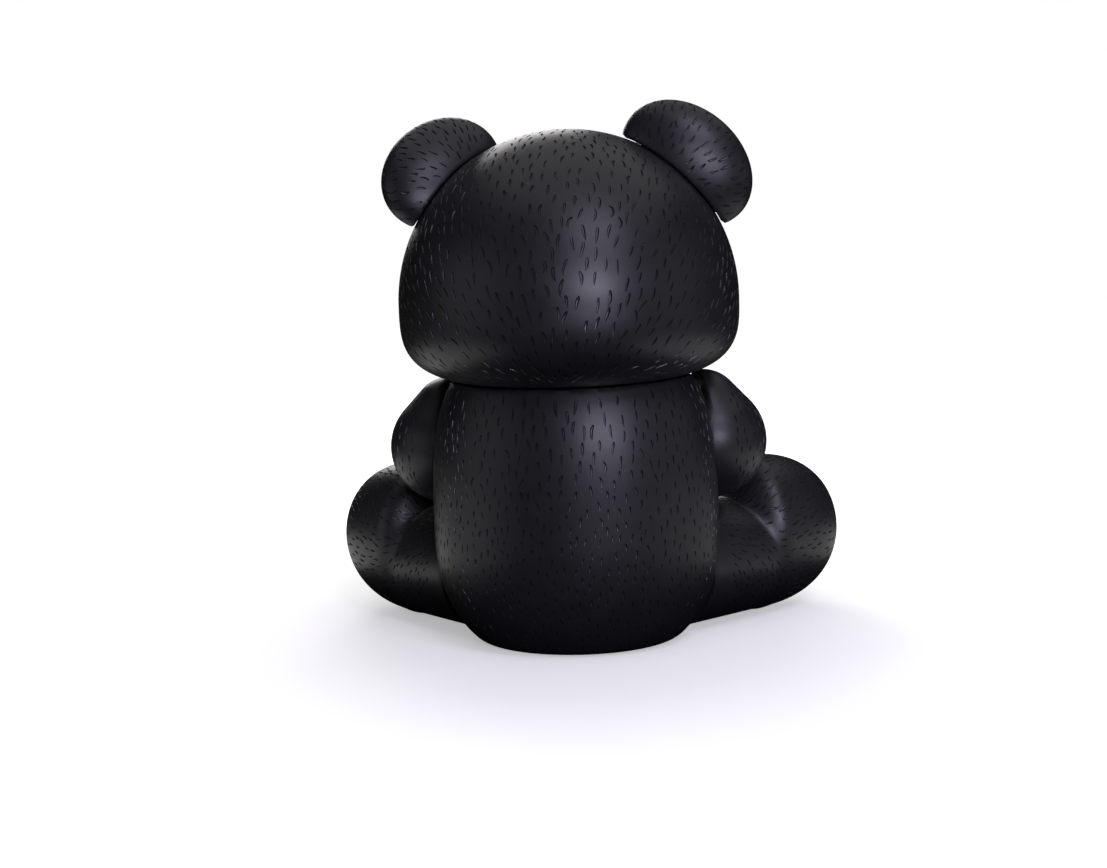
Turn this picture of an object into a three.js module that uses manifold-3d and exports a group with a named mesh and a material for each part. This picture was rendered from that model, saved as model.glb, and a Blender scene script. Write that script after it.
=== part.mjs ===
// Sitting bear figurine in soft vinyl, about 200 mm tall. Millimetres, +Z up.
// The bear faces -Y, its own left is +X, and it sits on the plane Z = 0.
// Head, torso, ears, arms and legs are hollow shells. Each ear and limb ends in
// a hollow stem with a flange, which snaps through a hole in the shell that
// carries it and turns there by hand.

import * as THREE from 'three';
import { mergeVertices } from 'three/addons/utils/BufferGeometryUtils.js';
import Module from 'manifold-3d';

const wasm = await Module();
wasm.setup();

// ---- driving dimensions ---------------------------------------------------

const BODY_WALL = 3; // wall of the head and torso shells
const LIMB_WALL = 2.6; // wall of the ears, arms and legs
const GAP = 0.4; // running gap between pieces that turn on each other

const TORSO = {
  halfWidth: 56,
  halfDepth: 44.6,
  widestZ: 45.6,
  rise: 73.8,
  drop: 55.5,
  riseP: 3.3,
  dropP: 2.45,
};

const HEAD = { radius: 65.9, y: 0, z: 133.1, drop: 32.5, dropP: 3.4 };
const NECK_Z = HEAD.z - HEAD.drop; // flat underside of the head
const NECK = { holeR: 19.5, boreR: 16, flangeR: 22.5, flangeT: 3 };

const EAR = { fromVertical: 42.8, back: 3, centreOut: 3.5, across: 27.9, out: 20.7, thick: 12 };
const EAR_TURN = { left: 38, right: 0 }; // how far each ear stands turned about its own stem
const EAR_STEM = { holeR: 6, boreR: 3.2, flangeR: 7.4, flangeT: 2, lift: 1.7 };

const ARM = { z: 75.5, onSurface: 55.6, forward: 17, sink: 7, shoulderR: 22.7, handR: 14.5 };
const HAND = { forward: 25, down: 2, out: 1 }; // hand centre from the shoulder centre
const DELTOID = { up: 13, out: -2.5, radius: 15.5 }; // top of the shoulder, from the shoulder centre
const DELTOID_LEVEL = -5; // how far the top of the shoulder reaches in over the torso
const RELIEF_FALL = 0.4; // slope of the clearance around a limb's pocket, as the torso curves away
const ARM_CLEAR = 1.8; // how far the torso stands past the shoulder centre around the pocket
const ARM_STEM = { holeR: 9.4, boreR: 6.2, flangeR: 10.8, flangeT: 2.5, lift: 0.5 };

const LEG = { z: 26, startY: 20, forward: 43, seat: 50, pocketR: 25.6, hipR: 25.2, ankleR: 23.6 };
const LEG_CLEAR = 9.5; // how far the torso stands past the hip's flat end around the pocket
const ANKLE = { out: 37, up: -1.6 }; // ankle centre from the hip's flat end
const FOOT = { out: 44, up: 6.9, across: 26.2, high: 32.3, heel: 14.5, sole: 43, soleP: 2.4 };
const LEG_STEM = { holeR: 11.4, boreR: 8, flangeR: 14, flangeT: 2.5, lift: 0.5 };
const FLANGE_ROOM = 0.8; // radial room around the leg's flange inside the torso

const MUZZLE = { y: -57, z: 119, halfWidth: 21, halfDepth: 20, halfHeight: 14.5 };
const NOSE = { y: -75, z: 124, halfWidth: 8.5, halfDepth: 5, halfHeight: 6 };
const EYE = { fromFront: 23, z: 138, radius: 4.8, sink: 1.6 };
const PEG = { radius: 2.2, length: 7 };

const BEYOND = 80; // half the side of blocks that reach past the whole bear

// ---- materials --------------------------------------------------------------

const blackVinyl = new THREE.MeshStandardMaterial({ color: 0x17171a, roughness: 0.45, metalness: 0 });
const glossBlack = new THREE.MeshStandardMaterial({ color: 0x08080a, roughness: 0.12, metalness: 0 });

// ---- solids -----------------------------------------------------------------

function toSolid(geometry) {
  const bare = geometry.clone();
  bare.deleteAttribute('normal');
  bare.deleteAttribute('uv');
  const merged = mergeVertices(bare, 1e-4);
  const mesh = new wasm.Mesh({
    numProp: 3,
    vertProperties: new Float32Array(merged.attributes.position.array),
    triVerts: new Uint32Array(merged.index.array),
  });
  return new wasm.Manifold(mesh);
}

function toMesh(name, solid, material) {
  const mesh = solid.getMesh();
  const geometry = new THREE.BufferGeometry();
  geometry.setAttribute('position', new THREE.BufferAttribute(mesh.vertProperties, 3));
  geometry.setIndex(new THREE.BufferAttribute(mesh.triVerts, 1));
  geometry.computeVertexNormals();
  const result = new THREE.Mesh(geometry, material);
  result.name = name;
  return result;
}

// A round body with its poles on Z. It is elliptical in plan, and its upper and
// lower halves may have their own height and squareness (2 is an ellipsoid).
function roundBody({ a, b, up, down = up, upP = 2, downP = 2 }, around, rows) {
  const geometry = new THREE.SphereGeometry(1, around, rows);
  geometry.rotateX(Math.PI / 2);
  const position = geometry.attributes.position;
  const point = new THREE.Vector3();
  for (let i = 0; i < position.count; i += 1) {
    point.fromBufferAttribute(position, i);
    const height = point.z > 0 ? up : down;
    const power = point.z > 0 ? upP : downP;
    const plan = Math.hypot(point.x / a, point.y / b);
    const reach = (plan ** power + Math.abs(point.z / height) ** power) ** (-1 / power);
    position.setXYZ(i, point.x * reach, point.y * reach, point.z * reach);
  }
  return geometry;
}

function rod(radius, fromZ, toZ, segments = 20) {
  const geometry = new THREE.CylinderGeometry(radius, radius, toZ - fromZ, segments);
  geometry.rotateX(Math.PI / 2);
  geometry.translate(0, 0, (fromZ + toZ) / 2);
  return geometry;
}

// Two balls joined by the cone that touches both, from point a to point b.
function taperedCapsule(a, radiusA, b, radiusB, around, arcSteps) {
  const length = a.distanceTo(b);
  const tilt = Math.asin((radiusA - radiusB) / length);
  const profile = [];
  for (let i = 0; i <= arcSteps; i += 1) {
    const angle = -Math.PI / 2 + ((tilt + Math.PI / 2) * i) / arcSteps;
    profile.push(new THREE.Vector2(radiusA * Math.cos(angle), radiusA * Math.sin(angle)));
  }
  for (let i = 0; i <= arcSteps; i += 1) {
    const angle = tilt + ((Math.PI / 2 - tilt) * i) / arcSteps;
    profile.push(new THREE.Vector2(radiusB * Math.cos(angle), length + radiusB * Math.sin(angle)));
  }
  profile[0].x = 0;
  profile[profile.length - 1].x = 0;
  const geometry = new THREE.LatheGeometry(profile, around);
  const direction = b.clone().sub(a).normalize();
  const turn = new THREE.Quaternion().setFromUnitVectors(new THREE.Vector3(0, 1, 0), direction);
  geometry.applyQuaternion(turn);
  geometry.translate(a.x, a.y, a.z);
  return geometry;
}

// A slab between two levels, wider than the bear.
function slab(fromZ, toZ) {
  const geometry = new THREE.BoxGeometry(2 * BEYOND, 2 * BEYOND, toZ - fromZ);
  geometry.translate(0, 0, (fromZ + toZ) / 2);
  return toSolid(geometry);
}

// Everything beyond local z = level.
function blockAbove(level) {
  return slab(level, level + 2 * BEYOND);
}

// The hollow stem and flange under a limb's flat end at local z = seat. The
// carrying wall lies between seat and seat - wall.
function stemSolid(stem, seat, wall) {
  const flangeTop = seat - wall - stem.lift;
  const flangeBottom = flangeTop - stem.flangeT;
  const post = toSolid(rod(stem.holeR - GAP, flangeBottom, seat + 2));
  const flange = toSolid(rod(stem.flangeR, flangeBottom, flangeTop));
  return post.add(flange);
}

function stemBore(stem, seat, wall, depth) {
  const bottom = seat - wall - stem.lift - stem.flangeT - 1;
  return toSolid(rod(stem.boreR, bottom, seat + depth));
}

// The ring around a limb's pocket that the torso fills, so that the limb stays
// clear of it however it is turned. It falls away with the torso's curve.
function pocketRing(radius, height) {
  const rim = BEYOND;
  const bottom = -BEYOND / 2;
  const profile = [
    new THREE.Vector2(radius, bottom),
    new THREE.Vector2(rim, bottom),
    new THREE.Vector2(rim, height - RELIEF_FALL * (rim - radius)),
    new THREE.Vector2(radius, height),
    new THREE.Vector2(radius, bottom),
  ];
  const geometry = new THREE.LatheGeometry(profile, 32);
  geometry.rotateX(Math.PI / 2);
  return toSolid(geometry);
}

// ---- joint frames -------------------------------------------------------------

// A frame whose Z points out along a joint's axis, with Y as close to upwards
// (or, for the ears, backwards) as given.
function jointFrame(origin, outward, second) {
  const side = new THREE.Vector3().crossVectors(second, outward);
  const matrix = new THREE.Matrix4().makeBasis(side, second, outward);
  return matrix.setPosition(origin);
}

const UP = new THREE.Vector3(0, 0, 1);
const BACK = new THREE.Vector3(0, 1, 0);
const HEAD_CENTRE = new THREE.Vector3(0, HEAD.y, HEAD.z);

// side is +1 for the bear's left and -1 for its right in all that follows.
function shoulderFrame(side) {
  const angle = THREE.MathUtils.degToRad(ARM.forward);
  const outward = new THREE.Vector3(side * Math.cos(angle), -Math.sin(angle), 0);
  const origin = outward.clone().multiplyScalar(ARM.onSurface).setZ(ARM.z);
  return jointFrame(origin, outward, UP);
}

function hipFrame(side) {
  const angle = THREE.MathUtils.degToRad(LEG.forward);
  const outward = new THREE.Vector3(side * Math.cos(angle), -Math.sin(angle), 0);
  const origin = outward.clone().multiplyScalar(LEG.seat).add(new THREE.Vector3(0, LEG.startY, LEG.z));
  return jointFrame(origin, outward, UP);
}

// The part of one direction that is square to another.
function squaredTo(direction, outward) {
  return direction.clone().addScaledVector(outward, -direction.dot(outward)).normalize();
}

function earFrame(side) {
  const angle = THREE.MathUtils.degToRad(EAR.fromVertical);
  const outward = new THREE.Vector3(side * Math.sin(angle), 0, Math.cos(angle));
  outward.applyAxisAngle(squaredTo(BACK, outward).cross(outward), -THREE.MathUtils.degToRad(EAR.back));
  const origin = outward.clone().multiplyScalar(HEAD.radius).add(HEAD_CENTRE);
  const turn = THREE.MathUtils.degToRad(side > 0 ? EAR_TURN.left : EAR_TURN.right);
  const second = squaredTo(BACK, outward).applyAxisAngle(outward, turn);
  return jointFrame(origin, outward, second);
}

function eyeFrame(side) {
  const rise = EYE.z - HEAD.z;
  const level = Math.sqrt(HEAD.radius ** 2 - rise ** 2);
  const angle = THREE.MathUtils.degToRad(EYE.fromFront);
  const spoke = new THREE.Vector3(side * level * Math.sin(angle), -level * Math.cos(angle), rise);
  const origin = spoke.clone().add(HEAD_CENTRE);
  const outward = spoke.normalize();
  return jointFrame(origin, outward, squaredTo(UP, outward));
}

function noseFrame() {
  const outward = new THREE.Vector3(0, -1, 0);
  return jointFrame(new THREE.Vector3(0, NOSE.y, NOSE.z), outward, UP);
}

function placed(geometry, frame) {
  return toSolid(geometry.clone().applyMatrix4(frame));
}

// ---- torso --------------------------------------------------------------------

function torsoBody(inset, around, rows) {
  const shape = {
    a: TORSO.halfWidth - inset,
    b: TORSO.halfDepth - inset,
    up: TORSO.rise - inset,
    down: TORSO.drop - inset,
    upP: TORSO.riseP,
    downP: TORSO.dropP,
  };
  const geometry = roundBody(shape, around, rows);
  geometry.translate(0, 0, TORSO.widestZ);
  return toSolid(geometry);
}

// The torso's top is a shallow seat that follows the underside of the head.
function torsoShell() {
  const top = NECK_Z - GAP;
  let shell = torsoBody(0, 30, 16).intersect(slab(0, HEAD.z)).subtract(headBody(-GAP, 36, 24));
  let cavity = torsoBody(BODY_WALL, 20, 10).intersect(slab(BODY_WALL, top - BODY_WALL));
  const reach = BEYOND / 2;
  for (const side of [1, -1]) {
    const shoulder = shoulderFrame(side);
    const hip = hipFrame(side);
    const armPocketR = ARM.shoulderR + GAP;
    shell = shell.subtract(placed(rod(armPocketR, -ARM.sink, reach, 28), shoulder));
    shell = shell.subtract(placed(rod(LEG.pocketR, 0, reach, 28), hip));
    const armWall = rod(armPocketR + BODY_WALL, -ARM.sink - BODY_WALL, reach, 18);
    const legWall = rod(LEG.pocketR + BODY_WALL, -BODY_WALL, reach, 18);
    cavity = cavity.subtract(placed(armWall, shoulder)).subtract(placed(legWall, hip));
    const flangeRoom = rod(LEG_STEM.flangeR + FLANGE_ROOM, -4 * BODY_WALL, -BODY_WALL);
    cavity = cavity.add(placed(flangeRoom, hip));
  }
  shell = shell.subtract(cavity);
  for (const side of [1, -1]) {
    const armHole = rod(ARM_STEM.holeR, -ARM.sink - 2 * BODY_WALL, reach);
    const legHole = rod(LEG_STEM.holeR, -2 * BODY_WALL, reach);
    shell = shell.subtract(placed(armHole, shoulderFrame(side)));
    shell = shell.subtract(placed(legHole, hipFrame(side)));
  }
  const flangeBottom = NECK_Z + BODY_WALL + 2 * GAP;
  const post = rod(NECK.holeR - GAP, top - BODY_WALL, flangeBottom + NECK.flangeT, 28);
  const flange = rod(NECK.flangeR, flangeBottom, flangeBottom + NECK.flangeT, 28);
  const bore = rod(NECK.boreR, top - 3 * BODY_WALL, flangeBottom + 2 * NECK.flangeT, 24);
  for (const part of [post, flange, bore]) {
    part.translate(0, HEAD.y, 0);
  }
  shell = shell.add(toSolid(post)).add(toSolid(flange)).subtract(toSolid(bore));
  return toMesh('torso_shell', shell, blackVinyl);
}

// ---- head ---------------------------------------------------------------------

function headBody(inset, around, rows) {
  const radius = HEAD.radius - inset;
  const shape = { a: radius, b: radius, up: radius, down: HEAD.drop - inset, downP: HEAD.dropP };
  const geometry = roundBody(shape, around, rows);
  geometry.translate(0, HEAD.y, HEAD.z);
  return toSolid(geometry);
}

function muzzleBody(inset, around, rows) {
  const shape = { a: MUZZLE.halfWidth - inset, b: MUZZLE.halfDepth - inset, up: MUZZLE.halfHeight - inset };
  const geometry = roundBody(shape, around, rows);
  geometry.translate(0, MUZZLE.y, MUZZLE.z);
  return toSolid(geometry);
}

function headShell() {
  const outside = headBody(0, 32, 20).add(muzzleBody(0, 18, 10));
  const inside = headBody(BODY_WALL, 20, 12).add(muzzleBody(BODY_WALL, 12, 8));
  let shell = outside.subtract(inside);
  const neckHole = rod(NECK.holeR, NECK_Z - BODY_WALL, NECK_Z + 2 * BODY_WALL, 28);
  neckHole.translate(0, HEAD.y, 0);
  shell = shell.subtract(toSolid(neckHole));
  const through = 2 * BODY_WALL;
  for (const side of [1, -1]) {
    shell = shell.subtract(placed(rod(EAR_STEM.holeR, -through, through), earFrame(side)));
    shell = shell.subtract(placed(rod(PEG.radius + GAP / 2, -through, through, 12), eyeFrame(side)));
  }
  shell = shell.subtract(placed(rod(PEG.radius + GAP / 2, -2 * through, through, 12), noseFrame()));
  return toMesh('head_shell', shell, blackVinyl);
}

// ---- ears ---------------------------------------------------------------------

function ear(side) {
  const ball = (inset, around, rows) => {
    const shape = { a: EAR.across - inset, b: EAR.thick - inset, up: EAR.out - inset };
    const geometry = roundBody(shape, around, rows);
    geometry.translate(0, 0, EAR.centreOut);
    return toSolid(geometry);
  };
  const headBall = (radius) => {
    const geometry = roundBody({ a: radius, b: radius, up: radius }, 28, 24);
    geometry.translate(0, 0, -HEAD.radius);
    return toSolid(geometry);
  };
  const outside = ball(0, 22, 12).subtract(headBall(HEAD.radius + GAP));
  const inside = ball(LIMB_WALL, 14, 8).subtract(headBall(HEAD.radius + LIMB_WALL));
  let shell = outside.subtract(inside);
  shell = shell.add(stemSolid(EAR_STEM, 0, BODY_WALL));
  shell = shell.subtract(stemBore(EAR_STEM, 0, BODY_WALL, 2 * LIMB_WALL));
  const mesh = toMesh(side > 0 ? 'ear_left' : 'ear_right', shell, blackVinyl);
  mesh.applyMatrix4(earFrame(side));
  return mesh;
}

// ---- arms ---------------------------------------------------------------------

// The full top of the shoulder, which closes the space under the head.
function deltoid(inset, around, steps) {
  const shoulder = new THREE.Vector3(0, 0, 0);
  const top = new THREE.Vector3(0, DELTOID.up, DELTOID.out);
  const body = taperedCapsule(shoulder, ARM.shoulderR - inset, top, DELTOID.radius - inset, around, steps);
  return toSolid(body).intersect(blockAbove(DELTOID_LEVEL + inset));
}

function arm(side) {
  const shoulder = new THREE.Vector3(0, 0, 0);
  const hand = new THREE.Vector3(-side * HAND.forward, -HAND.down, HAND.out);
  const body = (inset, around, steps) =>
    toSolid(taperedCapsule(shoulder, ARM.shoulderR - inset, hand, ARM.handR - inset, around, steps));
  const seat = -ARM.sink + GAP;
  const outerRing = pocketRing(ARM.shoulderR, ARM_CLEAR);
  const innerRing = pocketRing(ARM.shoulderR - LIMB_WALL, ARM_CLEAR + LIMB_WALL);
  const outside = body(0, 22, 7).intersect(blockAbove(seat)).subtract(outerRing);
  const inside = body(LIMB_WALL, 14, 4).intersect(blockAbove(seat + LIMB_WALL)).subtract(innerRing);
  let shell = outside.add(deltoid(0, 18, 5)).subtract(inside.add(deltoid(LIMB_WALL, 12, 4)));
  shell = shell.add(stemSolid(ARM_STEM, seat, BODY_WALL + GAP));
  shell = shell.subtract(stemBore(ARM_STEM, seat, BODY_WALL + GAP, 2 * LIMB_WALL));
  const mesh = toMesh(side > 0 ? 'arm_left' : 'arm_right', shell, blackVinyl);
  mesh.applyMatrix4(shoulderFrame(side));
  return mesh;
}

// ---- legs ---------------------------------------------------------------------

function footBody(inset, around, rows) {
  const shape = {
    a: FOOT.across - inset,
    b: FOOT.high - inset,
    up: FOOT.sole - inset,
    down: FOOT.heel - inset,
    upP: FOOT.soleP,
  };
  const geometry = roundBody(shape, around, rows);
  geometry.translate(0, FOOT.up, FOOT.out);
  return toSolid(geometry);
}

function leg(side) {
  const hip = new THREE.Vector3(0, 0, 0);
  const ankle = new THREE.Vector3(0, ANKLE.up, ANKLE.out);
  const body = (inset, around, steps) =>
    toSolid(taperedCapsule(hip, LEG.hipR - inset, ankle, LEG.ankleR - inset, around, steps));
  const outerRing = pocketRing(LEG.hipR, LEG_CLEAR);
  const innerSeat = GAP + LIMB_WALL;
  const outside = body(0, 24, 6).add(footBody(0, 22, 14)).intersect(blockAbove(GAP)).subtract(outerRing);
  const hollow = body(LIMB_WALL, 14, 4).add(footBody(LIMB_WALL, 14, 8));
  let shell = outside.subtract(hollow.intersect(blockAbove(innerSeat)));
  shell = shell.add(stemSolid(LEG_STEM, GAP, BODY_WALL + GAP));
  shell = shell.subtract(stemBore(LEG_STEM, GAP, BODY_WALL + GAP, 2 * LIMB_WALL));
  const mesh = toMesh(side > 0 ? 'leg_left' : 'leg_right', shell, blackVinyl);
  mesh.applyMatrix4(hipFrame(side));
  return mesh;
}

// ---- face inserts ---------------------------------------------------------------

function eye(side) {
  const ball = roundBody({ a: EYE.radius, b: EYE.radius, up: EYE.radius }, 16, 10);
  ball.translate(0, 0, -EYE.sink);
  const dome = toSolid(ball).intersect(blockAbove(GAP / 2));
  const peg = toSolid(rod(PEG.radius, -PEG.length, 2 * GAP, 12));
  const mesh = toMesh(side > 0 ? 'eye_left' : 'eye_right', dome.add(peg), glossBlack);
  mesh.applyMatrix4(eyeFrame(side));
  return mesh;
}

function nose() {
  const shape = { a: NOSE.halfWidth, b: NOSE.halfHeight, up: NOSE.halfDepth };
  const button = placed(roundBody(shape, 16, 10), noseFrame()).subtract(muzzleBody(-GAP, 24, 16));
  const peg = placed(rod(PEG.radius, -PEG.length - 2, NOSE.halfDepth / 2, 12), noseFrame());
  return toMesh('nose', button.add(peg), glossBlack);
}

// ---- assembly -------------------------------------------------------------------

const bear = new THREE.Group();
bear.add(torsoShell());
bear.add(headShell());
bear.add(nose());
for (const side of [1, -1]) {
  bear.add(ear(side));
  bear.add(arm(side));
  bear.add(leg(side));
  bear.add(eye(side));
}

export default bear;
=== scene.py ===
# Looks for the sitting vinyl bear: smooth moulded shells with incised fur strokes,
# a satin black vinyl, and a plain pale studio. Shapes are worked out in millimetres
# from implicit surfaces (negative inside) and written to Blender in metres.

import math

import bpy
import numpy as np
from mathutils import Matrix, Vector, kdtree


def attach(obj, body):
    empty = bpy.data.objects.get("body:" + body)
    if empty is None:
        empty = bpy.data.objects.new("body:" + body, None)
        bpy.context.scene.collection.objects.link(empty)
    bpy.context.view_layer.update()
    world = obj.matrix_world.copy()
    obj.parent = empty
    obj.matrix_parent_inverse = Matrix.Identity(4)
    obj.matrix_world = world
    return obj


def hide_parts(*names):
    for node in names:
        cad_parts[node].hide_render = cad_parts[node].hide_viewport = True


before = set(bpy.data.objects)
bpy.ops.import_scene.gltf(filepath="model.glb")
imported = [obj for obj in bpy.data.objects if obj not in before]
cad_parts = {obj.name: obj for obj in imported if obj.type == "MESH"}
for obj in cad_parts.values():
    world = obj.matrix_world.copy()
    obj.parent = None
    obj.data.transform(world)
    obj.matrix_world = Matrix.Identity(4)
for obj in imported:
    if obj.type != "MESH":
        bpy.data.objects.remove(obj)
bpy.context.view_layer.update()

MM = 0.001

# ---- sizes, in millimetres ------------------------------------------------------

GAP = 0.4  # running gap between pieces that turn on each other

TORSO_HALF_WIDTH, TORSO_HALF_DEPTH, TORSO_WIDEST_Z = 56, 44.6, 45.6
TORSO_RISE, TORSO_DROP = 73.8, 55.5
TORSO_RISE_P, TORSO_DROP_P = 3.3, 2.45

HEAD_CENTRE = np.array([0, 0, 133.1])
HEAD_R, HEAD_DROP, HEAD_DROP_P = 65.9, 32.5, 3.4

EAR_FROM_VERTICAL, EAR_BACK = 42.8, 3
EAR_CENTRE_OUT, EAR_ACROSS, EAR_OUT, EAR_THICK = 3.5, 27.9, 20.7, 12
EAR_TURN = {1: 38, -1: 0}  # how far the left and right ear stand turned about their stems

ARM_Z, ARM_FROM_AXIS, ARM_FORWARD, ARM_SINK = 75.5, 55.6, 17, 7
SHOULDER_R, HAND_R = 22.7, 14.5
HAND = (25, 2, 1)  # forward, down, out from the shoulder centre
ARM_CLEAR = 1.8
DELTOID, DELTOID_R, DELTOID_LEVEL = (0, 13, -2.5), 15.5, -5.0  # full top of the shoulder

LEG_Z, LEG_START_Y, LEG_FORWARD, LEG_SEAT = 26, 20, 43, 50
HIP_R, ANKLE_R, LEG_POCKET_R = 25.2, 23.6, 25.6
ANKLE_OUT, ANKLE_UP = 37, -1.6
FOOT_OUT, FOOT_UP, FOOT_ACROSS, FOOT_HIGH = 44, 6.9, 26.2, 32.3
FOOT_HEEL, FOOT_SOLE, FOOT_SOLE_P = 14.5, 43, 2.4
LEG_CLEAR = 9.5
RELIEF_FALL = 0.4

MUZZLE_CENTRE = np.array([0, -57, 119.0])
MUZZLE_SIZE = (21, 20, 14.5)
NOSE_CENTRE = np.array([0, -75, 124.0])
NOSE_SIZE = (8.5, 5, 6)
EYE_FROM_FRONT, EYE_Z, EYE_R, EYE_SINK = 23, 138, 4.8, 1.6

# ---- implicit surfaces ------------------------------------------------------------


def soft_min(a, b, k):
    h = np.maximum(k - np.abs(a - b), 0) / k
    return np.minimum(a, b) - h * h * k / 4


def soft_max(a, b, k):
    return -soft_min(-a, -b, k)


def round_body(p, a, b, up, down=None, up_p=2, down_p=2):
    """A round body about the origin, whose upper and lower halves have their own height and squareness."""
    down = up if down is None else down
    above = p[:, 2] > 0
    height = np.where(above, up, down)
    power = np.where(above, up_p, down_p)
    plan = np.hypot(p[:, 0] / a, p[:, 1] / b)
    g = (plan**power + np.abs(p[:, 2] / height) ** power) ** (1 / power)
    return np.linalg.norm(p, axis=1) * (1 - 1 / np.maximum(g, 1e-9))


def round_cone(p, a, ra, b, rb):
    """Two balls and the cone that touches both."""
    a, b = np.array(a, float), np.array(b, float)
    ba = b - a
    l2 = ba @ ba
    rr = ra - rb
    a2 = l2 - rr * rr
    pa = p - a
    y = pa @ ba
    z = y - l2
    x2 = ((pa * l2 - ba * y[:, None]) ** 2).sum(1)
    y2 = y * y * l2
    z2 = z * z * l2
    k = np.sign(rr) * rr * rr * x2
    side = (np.sqrt(x2 * a2 / l2) + y * rr) / l2 - ra
    end_a = np.sqrt(x2 + y2) / l2 - ra
    end_b = np.sqrt(x2 + z2) / l2 - rb
    return np.where(np.sign(z) * a2 * z2 > k, end_b, np.where(np.sign(y) * a2 * y2 < k, end_a, side))


def pocket_ring(p, radius, height):
    """What the torso fills around a limb's pocket, in the joint's frame."""
    r = np.hypot(p[:, 0], p[:, 1])
    return np.maximum(radius - r, p[:, 2] - height + RELIEF_FALL * (r - radius))


# ---- joint frames -------------------------------------------------------------------


def joint_frame(origin, outward, second):
    side = np.cross(second, outward)
    return np.array(origin, float), np.stack([side, second, outward], 1)


def to_world(frame_, p):
    return p @ frame_[1].T + frame_[0]


def shoulder_frame(side):
    a = math.radians(ARM_FORWARD)
    out = np.array([side * math.cos(a), -math.sin(a), 0])
    return joint_frame(out * ARM_FROM_AXIS + [0, 0, ARM_Z], out, np.array([0, 0, 1.0]))


def hip_frame(side):
    a = math.radians(LEG_FORWARD)
    out = np.array([side * math.cos(a), -math.sin(a), 0])
    return joint_frame(out * LEG_SEAT + [0, LEG_START_Y, LEG_Z], out, np.array([0, 0, 1.0]))


def squared_to(direction, out):
    square = np.array(direction, float) - out * (out @ direction)
    return square / np.linalg.norm(square)


def ear_frame(side, turn=0):
    a, b, t = (math.radians(v) for v in (EAR_FROM_VERTICAL, EAR_BACK, turn))
    out = np.array([side * math.sin(a) * math.cos(b), math.sin(b), math.cos(a) * math.cos(b)])
    back = squared_to((0, 1, 0), out)
    second = back * math.cos(t) + np.cross(out, back) * math.sin(t)
    return joint_frame(out * HEAD_R + HEAD_CENTRE, out, second)


def eye_frame(side):
    rise = EYE_Z - HEAD_CENTRE[2]
    level = math.sqrt(HEAD_R**2 - rise**2)
    a = math.radians(EYE_FROM_FRONT)
    out = np.array([side * level * math.sin(a), -level * math.cos(a), rise]) / HEAD_R
    return joint_frame(out * HEAD_R + HEAD_CENTRE, out, squared_to((0, 0, 1), out))


WORLD = (np.zeros(3), np.eye(3))

# ---- the pieces' surfaces, each in its own frame ---------------------------------------


def skull(p, grow=0):
    size = HEAD_R + grow
    return round_body(p - HEAD_CENTRE, size, size, size, HEAD_DROP + grow, 2, HEAD_DROP_P)


def torso_surface(p):
    q = p - [0, 0, TORSO_WIDEST_Z]
    half = TORSO_HALF_WIDTH, TORSO_HALF_DEPTH
    body = round_body(q, *half, TORSO_RISE, TORSO_DROP, TORSO_RISE_P, TORSO_DROP_P)
    body = soft_max(body, -skull(p, GAP), 1)
    return soft_max(body, -p[:, 2], 3)


def head_surface(p):
    muzzle = round_body(p - MUZZLE_CENTRE, *MUZZLE_SIZE)
    return soft_min(skull(p), muzzle, 7)


def ear_surface(p):
    ball = round_body(p - [0, 0, EAR_CENTRE_OUT], EAR_ACROSS, EAR_THICK, EAR_OUT)
    head = np.linalg.norm(p + [0, 0, HEAD_R], axis=1) - HEAD_R - GAP
    dish = round_body(p - [0, -17.5, 7], 19, 10, 14)
    return soft_max(soft_max(ball, -dish, 3), -head, 1.2)


def arm_surface(side):
    hand = (-side * HAND[0], -HAND[1], HAND[2])

    def surface(p):
        body = round_cone(p, (0, 0, 0), SHOULDER_R, hand, HAND_R)
        body = soft_max(body, -p[:, 2] - ARM_SINK + GAP, 1)
        body = np.maximum(body, -pocket_ring(p, SHOULDER_R, ARM_CLEAR))
        top = round_cone(p, (0, 0, 0), SHOULDER_R, DELTOID, DELTOID_R)
        return np.minimum(body, soft_max(top, DELTOID_LEVEL - p[:, 2], 1))

    return surface


def foot_part(p):
    return round_body(p - [0, FOOT_UP, FOOT_OUT], FOOT_ACROSS, FOOT_HIGH, FOOT_SOLE, FOOT_HEEL, FOOT_SOLE_P)


def leg_part(p):
    return round_cone(p, (0, 0, 0), HIP_R, (0, ANKLE_UP, ANKLE_OUT), ANKLE_R)


def leg_surface(p):
    body = soft_min(leg_part(p), foot_part(p), 3)
    body = soft_max(body, GAP - p[:, 2], 1)
    return np.maximum(body, -pocket_ring(p, HIP_R, LEG_CLEAR))


def eye_surface(p):
    ball = np.linalg.norm(p + [0, 0, EYE_SINK], axis=1) - EYE_R
    return soft_max(ball, GAP / 2 - p[:, 2], 0.3)


def nose_surface(p):
    q = (p - NOSE_CENTRE)[:, [0, 2, 1]] * [1, 1, -1]
    taper = 1 + 0.22 * q[:, 1:2] / NOSE_SIZE[2]
    q = np.concatenate([q[:, :1] / taper, q[:, 1:]], 1)
    button = round_body(q, NOSE_SIZE[0], NOSE_SIZE[2], NOSE_SIZE[1])
    muzzle = round_body(p - MUZZLE_CENTRE, *(s + GAP for s in MUZZLE_SIZE))
    return soft_max(button, -muzzle, 0.5)


# ---- meshing -----------------------------------------------------------------------------


def reach(surface, centre, directions, furthest=110, steps=34):
    """How far the surface is from the centre along each direction."""
    low = np.zeros(len(directions))
    high = np.full(len(directions), float(furthest))
    for _ in range(steps):
        middle = (low + high) / 2
        inside = surface(centre + directions * middle[:, None]) < 0
        low = np.where(inside, middle, low)
        high = np.where(inside, high, middle)
    return (low + high) / 2


def on_surface(surface, centre, p):
    d = p - centre
    d = d / np.linalg.norm(d, axis=1, keepdims=True)
    return centre + d * reach(surface, centre, d)[:, None]


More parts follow.
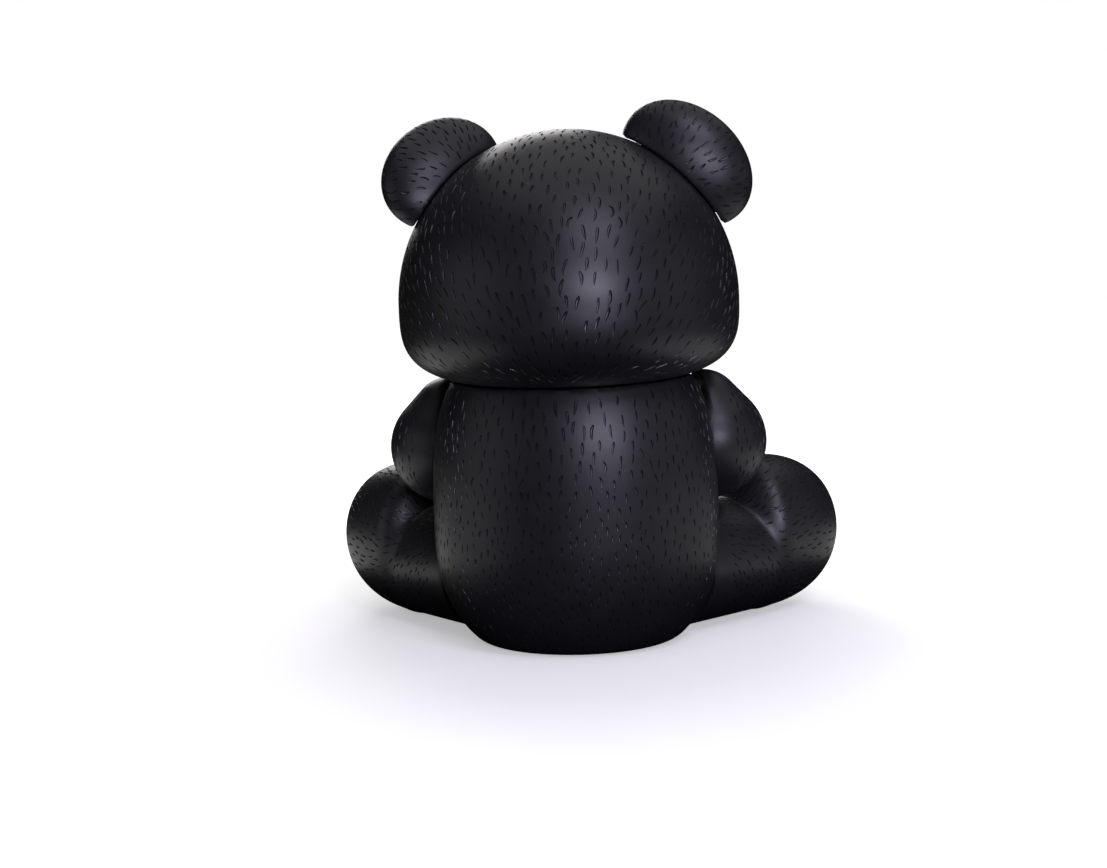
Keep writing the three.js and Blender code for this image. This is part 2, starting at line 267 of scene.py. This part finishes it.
def normals(surface, p, step=0.05):
    n = np.empty_like(p)
    for axis in range(3):
        shift = np.zeros(3)
        shift[axis] = step
        n[:, axis] = surface(p + shift) - surface(p - shift)
    return n / np.linalg.norm(n, axis=1, keepdims=True)


def ball_grid(n):
    """Unit directions and quads of a ball made from a cube with n by n quads on each side."""
    line = np.tan(np.linspace(-math.pi / 4, math.pi / 4, n + 1))
    u, v = np.meshgrid(line, line, indexing="ij")
    one = np.ones_like(u)
    sides = [(one, u, v), (-one, v, u), (v, one, u), (u, -one, v), (u, v, one), (v, u, -one)]
    points = np.concatenate([np.stack(s, -1).reshape(-1, 3) for s in sides])
    points /= np.linalg.norm(points, axis=1, keepdims=True)
    index = np.arange((n + 1) ** 2).reshape(n + 1, n + 1)
    quad = np.stack([index[:-1, :-1], index[1:, :-1], index[1:, 1:], index[:-1, 1:]], -1).reshape(-1, 4)
    quads = np.concatenate([quad + k * (n + 1) ** 2 for k in range(6)])
    _, first, inverse = np.unique(np.round(points, 6), axis=0, return_index=True, return_inverse=True)
    return points[first], inverse.reshape(-1)[quads]


def new_mesh(name, points, faces):
    mesh = bpy.data.meshes.new(name)
    mesh.from_pydata((points * MM).tolist(), [], faces)
    mesh.validate()
    mesh.update()
    piece = bpy.data.objects.new(name, mesh)
    bpy.context.scene.collection.objects.link(piece)
    return piece


def moulded(name, surface, centre, fine, frame_=WORLD):
    """A piece whose surface is seen whole from its centre."""
    centre = np.array(centre, float)
    directions, quads = ball_grid(fine)
    points = centre + directions * reach(surface, centre, directions)[:, None]
    return new_mesh(name, to_world(frame_, points), quads.tolist())


def carve(piece, *tools):
    """Cuts the tools out of the piece, and removes them."""
    for tool in tools:
        cut = piece.modifiers.new("cut", "BOOLEAN")
        cut.operation = "DIFFERENCE"
        cut.solver = "MANIFOLD"
        cut.object = tool
    depsgraph = bpy.context.evaluated_depsgraph_get()
    done = bpy.data.meshes.new_from_object(piece.evaluated_get(depsgraph))
    piece.modifiers.clear()
    old = piece.data
    piece.data = done
    bpy.data.meshes.remove(old)
    done.name = piece.name
    for tool in tools:
        mesh = tool.data
        bpy.data.objects.remove(tool)
        bpy.data.meshes.remove(mesh)


def smooth(piece, sharp_degrees=38):
    for polygon in piece.data.polygons:
        polygon.use_smooth = True
    piece.data.set_sharp_from_angle(angle=math.radians(sharp_degrees))


# ---- fur strokes -----------------------------------------------------------------------------

STROKE_DEPTH = 0.75  # for a stroke 1.15 mm wide; narrower strokes are shallower
STROKE_ABOVE = 0.5  # how far the cutters stand above the surface
STROKE_WIDTHS = np.array([0.55, 0.95, 1.0, 0.9, 0.65, 0.2])
STROKE_DEPTHS = np.array([0.6, 1.0, 1.0, 0.85, 0.6, 0.15])
# Across a stroke: share of its half width, and of its depth (None is above the surface).
SECTION = np.array([(-1.1, None), (-1, 0), (-0.42, -0.9), (0.42, -0.9), (1, 0), (1.1, None)], object)


def scatter(piece_points, quads, rng, count):
    """Random points on a quad mesh, even by area."""
    a, b, c, d = (piece_points[quads[:, i]] for i in range(4))
    area = np.linalg.norm(np.cross(c - a, d - b), axis=1)
    pick = rng.choice(len(quads), count, p=area / area.sum())
    u, v = rng.random((2, count, 1))
    top = a[pick] * (1 - u) + b[pick] * u
    bottom = d[pick] * (1 - u) + c[pick] * u
    return top * (1 - v) + bottom * v


def spaced(points, flow, side, along, across):
    """Keeps points so that none lies in another's ellipse, along by across."""
    tree = kdtree.KDTree(len(points))
    for i, p in enumerate(points):
        tree.insert(p, i)
    tree.balance()
    alive = np.ones(len(points), bool)
    kept = []
    for i, p in enumerate(points):
        if not alive[i]:
            continue
        kept.append(i)
        near = np.array([j for _, j, _ in tree.find_range(p, along[i])])
        offset = points[near] - p
        u = offset @ flow[i] / along[i]
        v = offset @ side[i] / across[i]
        alive[near[u * u + v * v < 1]] = False
    return np.array(kept)


def strokes(name, surface, centre, fine, flow, style, keep, seed, frame_=WORLD):
    """Cutters for the incised fur strokes of one piece, as one object."""
    rng = np.random.default_rng(seed)
    centre = np.array(centre, float)
    directions, quads = ball_grid(fine)
    shell = centre + directions * reach(surface, centre, directions)[:, None]
    candidates = on_surface(surface, centre, scatter(shell, quads, rng, 22000))
    normal = normals(surface, candidates)
    candidates = candidates[keep(candidates, normal)]
    normal = normals(surface, candidates)
    heading = tangent(flow(candidates), normal)
    across_dir = np.cross(normal, heading)
    along, across, length, width = style(candidates)
    chosen = spaced(candidates, heading, across_dir, along * 0.84, across * 0.84)
    count = len(chosen)
    start = candidates[chosen]
    length = length[chosen] * rng.uniform(0.8, 1.15, count)
    width = width[chosen] * rng.uniform(0.8, 1.15, count)
    bend = rng.normal(0, 0.26, count)
    turn = rng.normal(0, 0.13, count)
    stations = len(STROKE_WIDTHS)
    step = length / (stations - 1)
    rings = []
    p = start
    for k in range(stations):
        n = normals(surface, p)
        t = tangent(flow(p), n)
        s = np.cross(n, t)
        angle = turn + bend * (2 * k / (stations - 1) - 1)
        t, s = turned(t, s, angle)
        half = width / 2 * STROKE_WIDTHS[k]
        depth = STROKE_DEPTH * width / 1.15 * STROKE_DEPTHS[k]
        ring = []
        for x, y in SECTION:
            height = np.full(count, STROKE_ABOVE) if y is None else y * depth
            ring.append(p + s * (x * half)[:, None] + n * height[:, None])
        rings.append(np.stack(ring, 1))
        p = on_surface(surface, centre, p + t * step[:, None])
    points = to_world(frame_, np.stack(rings, 1).reshape(-1, 3))
    around = len(SECTION)
    faces = []
    for k in range(stations - 1):
        for m in range(around):
            near, far = k * around + m, k * around + (m + 1) % around
            faces.append((near, far, far + around, near + around))
    faces.append(tuple(reversed(range(around))))
    faces.append(tuple(range((stations - 1) * around, stations * around)))
    each = stations * around
    every = [tuple(i + j * each for i in f) for j in range(count) for f in faces]
    return new_mesh(name, points, every)


def tangent(v, n):
    t = v - n * (v * n).sum(1, keepdims=True)
    return t / np.maximum(np.linalg.norm(t, axis=1, keepdims=True), 1e-9)


def turned(t, s, angle):
    c, d = np.cos(angle)[:, None], np.sin(angle)[:, None]
    return t * c + s * d, s * c - t * d


def constant_style(along, across, length, width):
    def style(p):
        return tuple(np.full(len(p), float(x)) for x in (along, across, length, width))

    return style


# ---- materials ------------------------------------------------------------------------------


def new_material(name, colour, roughness):
    material = bpy.data.materials.new(name)
    material.use_nodes = True
    shader = material.node_tree.nodes["Principled BSDF"]
    shader.inputs["Base Color"].default_value = (*colour, 1)
    shader.inputs["Roughness"].default_value = roughness
    return material, shader


def noise(tree, scale, detail, source):
    node = tree.nodes.new("ShaderNodeTexNoise")
    node.inputs["Scale"].default_value = scale
    node.inputs["Detail"].default_value = detail
    tree.links.new(source, node.inputs["Vector"])
    return node.outputs["Fac"]


def mapped(tree, value, low, high):
    node = tree.nodes.new("ShaderNodeMapRange")
    node.inputs["To Min"].default_value = low
    node.inputs["To Max"].default_value = high
    tree.links.new(value, node.inputs["Value"])
    return node.outputs["Result"]


def vinyl_material():
    """Satin black vinyl: a fine moulded grain, faint mottling of the gloss and colour."""
    material, shader = new_material("black_vinyl", (0.011, 0.011, 0.012), 0.4)
    tree = material.node_tree
    place = tree.nodes.new("ShaderNodeTexCoord").outputs["Object"]
    grain = noise(tree, 2600, 2, place)
    mottle = noise(tree, 90, 4, place)
    blend = tree.nodes.new("ShaderNodeMix")
    blend.data_type = "RGBA"
    blend.inputs[6].default_value = (0.011, 0.011, 0.012, 1)
    blend.inputs[7].default_value = (0.017, 0.016, 0.019, 1)
    tree.links.new(mottle, blend.inputs[0])
    tree.links.new(blend.outputs[2], shader.inputs["Base Color"])
    tree.links.new(mapped(tree, mottle, 0.34, 0.46), shader.inputs["Roughness"])
    bump = tree.nodes.new("ShaderNodeBump")
    bump.inputs["Strength"].default_value = 0.35
    bump.inputs["Distance"].default_value = 0.00004
    tree.links.new(grain, bump.inputs["Height"])
    tree.links.new(bump.outputs["Normal"], shader.inputs["Normal"])
    return material


def gloss_material():
    """Polished black plastic, with the faint orange peel of a small moulding."""
    material, shader = new_material("gloss_black", (0.006, 0.006, 0.007), 0.08)
    tree = material.node_tree
    place = tree.nodes.new("ShaderNodeTexCoord").outputs["Object"]
    peel = noise(tree, 500, 2, place)
    tree.links.new(mapped(tree, peel, 0.06, 0.12), shader.inputs["Roughness"])
    bump = tree.nodes.new("ShaderNodeBump")
    bump.inputs["Strength"].default_value = 0.1
    bump.inputs["Distance"].default_value = 0.00005
    tree.links.new(peel, bump.inputs["Height"])
    tree.links.new(bump.outputs["Normal"], shader.inputs["Normal"])
    return material


VINYL = vinyl_material()
GLOSS = gloss_material()


def finish_piece(piece, material, body, node):
    piece.data.materials.clear()
    piece.data.materials.append(material)
    smooth(piece)
    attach(piece, body)
    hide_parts(node)


# ---- tools for cutting the torso ----------------------------------------------------------------


def rod_tool(name, radius, low, high, frame_, segments=96):
    angle = np.linspace(0, 2 * math.pi, segments, endpoint=False)
    circle = np.stack([np.cos(angle) * radius, np.sin(angle) * radius], 1)
    bottom = np.concatenate([circle, np.full((segments, 1), low)], 1)
    top = np.concatenate([circle, np.full((segments, 1), high)], 1)
    points = to_world(frame_, np.concatenate([bottom, top]))
    faces = [tuple(reversed(range(segments))), tuple(range(segments, 2 * segments))]
    for i in range(segments):
        j = (i + 1) % segments
        faces.append((i, j, j + segments, i + segments))
    return new_mesh(name, points, faces)


# ---- the bear -------------------------------------------------------------------------------------

DOWN = np.array([0, 0, -1.0])


def down_flow(p):
    return np.broadcast_to(DOWN, p.shape)


def build_torso():
    centre = (0, 0, 50)
    piece = moulded("torso", torso_surface, centre, 78)

    def style(p):
        bold = np.exp(-((p[:, 0] / 30) ** 2)) * np.clip((p[:, 2] - 45) / 40, 0, 1) * (p[:, 1] > 0)
        return 4.9 + 1.7 * bold, 3.3 + 1.0 * bold, 3.2 + 2.2 * bold, 0.76 + 0.38 * bold

    def keep(p, n):
        clear = (skull(p) > 3) & (p[:, 2] > 4)
        for side in (1, -1):
            for place, radius in ((shoulder_frame(side), SHOULDER_R), (hip_frame(side), LEG_POCKET_R)):
                q = (p - place[0]) @ place[1]
                clear &= (np.hypot(q[:, 0], q[:, 1]) > radius + 4) | (q[:, 2] < -15)
        return clear

    tools = [strokes("torso_strokes", torso_surface, centre, 50, down_flow, style, keep, 11)]
    for side in (1, -1):
        tools.append(rod_tool("pocket", SHOULDER_R + GAP, -ARM_SINK, 60, shoulder_frame(side)))
        tools.append(rod_tool("pocket", LEG_POCKET_R, 0, 60, hip_frame(side)))
    carve(piece, *tools)
    finish_piece(piece, VINYL, "torso", "torso_shell")


def build_head():
    centre = (0, -8, 126)
    piece = moulded("head", head_surface, centre, 84)

    def flow(p):
        return np.array([0, 55.0, 76.0]) - p

    def keep(p, n):
        muzzle = round_body(p - MUZZLE_CENTRE, *MUZZLE_SIZE) > 6.5
        underside = p[:, 2] > HEAD_CENTRE[2] - HEAD_DROP + 5
        clear = muzzle & underside
        for side in (1, -1):
            eye = eye_frame(side)[0]
            clear &= np.linalg.norm(p - eye, axis=1) > EYE_R + 4
            place = ear_frame(side)
            q = (p - place[0]) @ place[1]
            clear &= (np.hypot(q[:, 0] / (EAR_ACROSS + 4), q[:, 1] / (EAR_THICK + 4)) > 1) | (q[:, 2] < -20)
        return clear

    def style(p):
        bold = np.exp(-((p[:, 0] / 42) ** 2) - ((p[:, 2] - 148) / 28) ** 2) * (p[:, 1] > 0)
        return 5.4 + 1.5 * bold, 3.9 + 0.7 * bold, 4.2 + 1.7 * bold, 0.9 + 0.3 * bold

    carve(piece, strokes("head_strokes", head_surface, centre, 50, flow, style, keep, 12))
    finish_piece(piece, VINYL, "head", "head_shell")


def build_ear(side, name):
    place = ear_frame(side, EAR_TURN[side])
    centre = (0, 2, 9)
    piece = moulded(name, ear_surface, centre, 44, place)

    def flow(p):
        return p - np.array([0, 0, -8.0])

    def keep(p, n):
        head = np.linalg.norm(p + [0, 0, HEAD_R], axis=1) - HEAD_R
        dish = round_body(p - [0, -17.5, 7], 19, 10, 14)
        return (head > 2.5) & (dish > 2)

    style = constant_style(5.0, 3.2, 3.8, 0.95)
    carve(piece, strokes("ear_strokes", ear_surface, centre, 36, flow, style, keep, 20 + side, place))
    finish_piece(piece, VINYL, name, name)


def build_arm(side, name):
    place = shoulder_frame(side)
    centre = (-side * 8, -3, 4)
    surface = arm_surface(side)
    piece = moulded(name, surface, centre, 50, place)

    def flow(p):
        return np.broadcast_to(np.array([0, -1.0, 0]), p.shape)

    def keep(p, n):
        return (p[:, 2] > ARM_CLEAR + 2) & (n[:, 2] > -0.6)

    style = constant_style(4.8, 3.3, 3.1, 0.76)
    carve(piece, strokes("arm_strokes", surface, centre, 36, flow, style, keep, 30 + side, place))
    finish_piece(piece, VINYL, name, name)


def build_leg(side, name):
    place = hip_frame(side)
    centre = (0, 5, 24)
    piece = moulded(name, leg_surface, centre, 60, place)

    def flow(p):
        low = np.clip((12 - p[:, 1]) / 30, 0, 1)[:, None]
        on_leg = np.array([0, -1.0, 0]) * (0.35 + low) + np.array([0, 0, 1.0]) * (1 - 0.8 * low)
        on_foot = p - np.array([0, 4.0, 30])
        foot = np.clip((leg_part(p) - foot_part(p)) / 6 + 0.5, 0, 1)[:, None]
        return on_leg * (1 - foot) + on_foot / np.linalg.norm(on_foot, axis=1, keepdims=True) * foot

    def keep(p, n):
        sole = (n[:, 2] > 0.8) & (p[:, 2] > FOOT_OUT)
        return (p[:, 2] > 10) & ~sole

    def style(p):
        foot = np.clip((leg_part(p) - foot_part(p)) / 6 + 0.5, 0, 1)
        return 4.2 + 0.8 * foot, 2.8 + 0.6 * foot, 3.1 + 0.9 * foot, 0.72 + 0.2 * foot

    carve(piece, strokes("leg_strokes", leg_surface, centre, 40, flow, style, keep, 40 + side, place))
    finish_piece(piece, VINYL, name, name)


def build_face():
    for side, name in ((1, "eye_left"), (-1, "eye_right")):
        piece = moulded(name, eye_surface, (0, 0, 1), 20, eye_frame(side))
        finish_piece(piece, GLOSS, "head", name)
    piece = moulded("nose_button", nose_surface, NOSE_CENTRE + [0, -1.5, 1], 26)
    finish_piece(piece, GLOSS, "head", "nose")


build_torso()
build_head()
build_face()
for _side, _word in ((1, "left"), (-1, "right")):
    build_ear(_side, "ear_" + _word)
    build_arm(_side, "arm_" + _word)
    build_leg(_side, "leg_" + _word)

# ---- studio ---------------------------------------------------------------------------------------------


def build_floor():
    size, n = 8.0, 8
    line = np.linspace(-size / 2, size / 2, n + 1)
    points = np.array([(x, y, 0) for x in line for y in line]) / MM
    faces = []
    for i in range(n):
        for j in range(n):
            a = i * (n + 1) + j
            faces.append((a, a + n + 1, a + n + 2, a + 1))
    floor = new_mesh("floor", points, faces)
    material, shader = new_material("pale_floor_painted_glow", (0.95, 0.95, 0.95), 0.9)
    tree = material.node_tree
    # Painted light: the floor glows with an emission that rises from 0.40 at 0.08 m from the bear to 0.90
    # at 0.32 m. This keeps the floor white out to the horizon beyond the lamps' reach, while their shadows
    # still show near the bear.
    distance = tree.nodes.new("ShaderNodeVectorMath")
    distance.operation = "LENGTH"
    tree.links.new(tree.nodes.new("ShaderNodeTexCoord").outputs["Object"], distance.inputs[0])
    painted_glow = mapped(tree, distance.outputs["Value"], 0.40, 0.90)
    painted_glow.node.inputs["From Min"].default_value = 0.08
    painted_glow.node.inputs["From Max"].default_value = 0.32
    tree.links.new(painted_glow, shader.inputs["Emission Strength"])
    shader.inputs["Emission Color"].default_value = (1, 1, 1, 1)
    shader.inputs["Specular IOR Level"].default_value = 0.0
    floor.data.materials.append(material)
    floor.visible_glossy = False
    floor.visible_diffuse = False


def area_light(name, place, target, size, power, colour):
    data = bpy.data.lights.new(name, "AREA")
    data.shape = "RECTANGLE"
    data.size, data.size_y = size
    data.energy = power
    data.color = colour
    light = bpy.data.objects.new(name, data)
    light.location = place
    aim = Vector(target) - Vector(place)
    light.rotation_euler = aim.to_track_quat("-Z", "Y").to_euler()
    light.visible_camera = False
    bpy.context.scene.collection.objects.link(light)


def sun_light(name, towards, strength, spread, colour):
    data = bpy.data.lights.new(name, "SUN")
    data.energy = strength
    data.angle = math.radians(spread)
    data.color = colour
    light = bpy.data.objects.new(name, data)
    light.rotation_euler = Vector(towards).to_track_quat("-Z", "Y").to_euler()
    bpy.context.scene.collection.objects.link(light)


def build_lights():
    area_light("key_low", (-0.38, 0.97, 0.32), (0, 0, 0.08), (0.40, 0.24), 4.8, (0.80, 0.77, 1.0))
    area_light("key_high", (-0.46, 0.84, 1.06), (0, 0, 0.12), (0.5, 0.45), 4.4, (0.80, 0.77, 1.0))
    area_light("fill_left", (1.0, 0.55, 0.30), (0, 0, 0.08), (1.0, 0.7), 0.9, (0.97, 0.96, 1.0))
    area_light("fill_right", (-1.15, 0.25, 0.30), (0, 0, 0.08), (1.0, 0.7), 0.6, (0.97, 0.96, 1.0))
    area_light("bounce_left", (0.25, 0, 0.003), (0.25, 0, 1), (0.24, 0.34), 0.22, (1.0, 0.98, 0.98))
    area_light("bounce_right", (-0.25, 0, 0.003), (-0.25, 0, 1), (0.24, 0.34), 0.17, (1.0, 0.98, 0.98))
    area_light("front", (0.35, -1.1, 0.62), (0, 0, 0.11), (0.6, 0.6), 5.0, (1.0, 0.98, 0.97))
    sun_light("overhead", (0.1, 0.15, -1), 0.7, 80, (1.0, 0.98, 0.97))
    world = bpy.data.worlds.new("studio")
    world.use_nodes = True
    world.node_tree.nodes["Background"].inputs["Color"].default_value = (1, 1, 1, 1)
    world.node_tree.nodes["Background"].inputs["Strength"].default_value = 1.0
    world.cycles_visibility.glossy = False
    world.cycles_visibility.diffuse = False
    bpy.context.scene.world = world


CAMERA_TARGET = np.array([0, 0, 0.100])
CAMERA_DISTANCE = 0.560
CAMERA_TURN, CAMERA_RISE, CAMERA_ROLL = 5.1, 4.5, -1.93
FRAME_WIDTH = 1107  # of the rendered image
CAMERA_LENS = 1431.7 / FRAME_WIDTH * 36
CAMERA_SHIFT = (-18.2 / FRAME_WIDTH, -48.6 / FRAME_WIDTH)


def build_camera():
    turn, rise, roll = (math.radians(a) for a in (CAMERA_TURN, CAMERA_RISE, CAMERA_ROLL))
    back = np.array([-math.sin(turn) * math.cos(rise), math.cos(turn) * math.cos(rise), math.sin(rise)])
    right = np.cross(-back, [0, 0, 1])
    right /= np.linalg.norm(right)
    up = np.cross(right, -back)
    x = right * math.cos(roll) + up * math.sin(roll)
    y = -right * math.sin(roll) + up * math.cos(roll)
    data = bpy.data.cameras.new("camera")
    data.sensor_width = 36
    data.lens = CAMERA_LENS
    data.shift_x, data.shift_y = CAMERA_SHIFT
    camera = bpy.data.objects.new("camera", data)
    place = Matrix(np.stack([x, y, back], 1).tolist()).to_4x4()
    place.translation = Vector((CAMERA_TARGET + back * CAMERA_DISTANCE).tolist())
    camera.matrix_world = place
    bpy.context.scene.collection.objects.link(camera)
    bpy.context.scene.camera = camera


build_floor()
build_lights()
build_camera()
bpy.context.scene.view_settings.view_transform = "Standard"
bpy.context.scene.view_settings.look = "None"
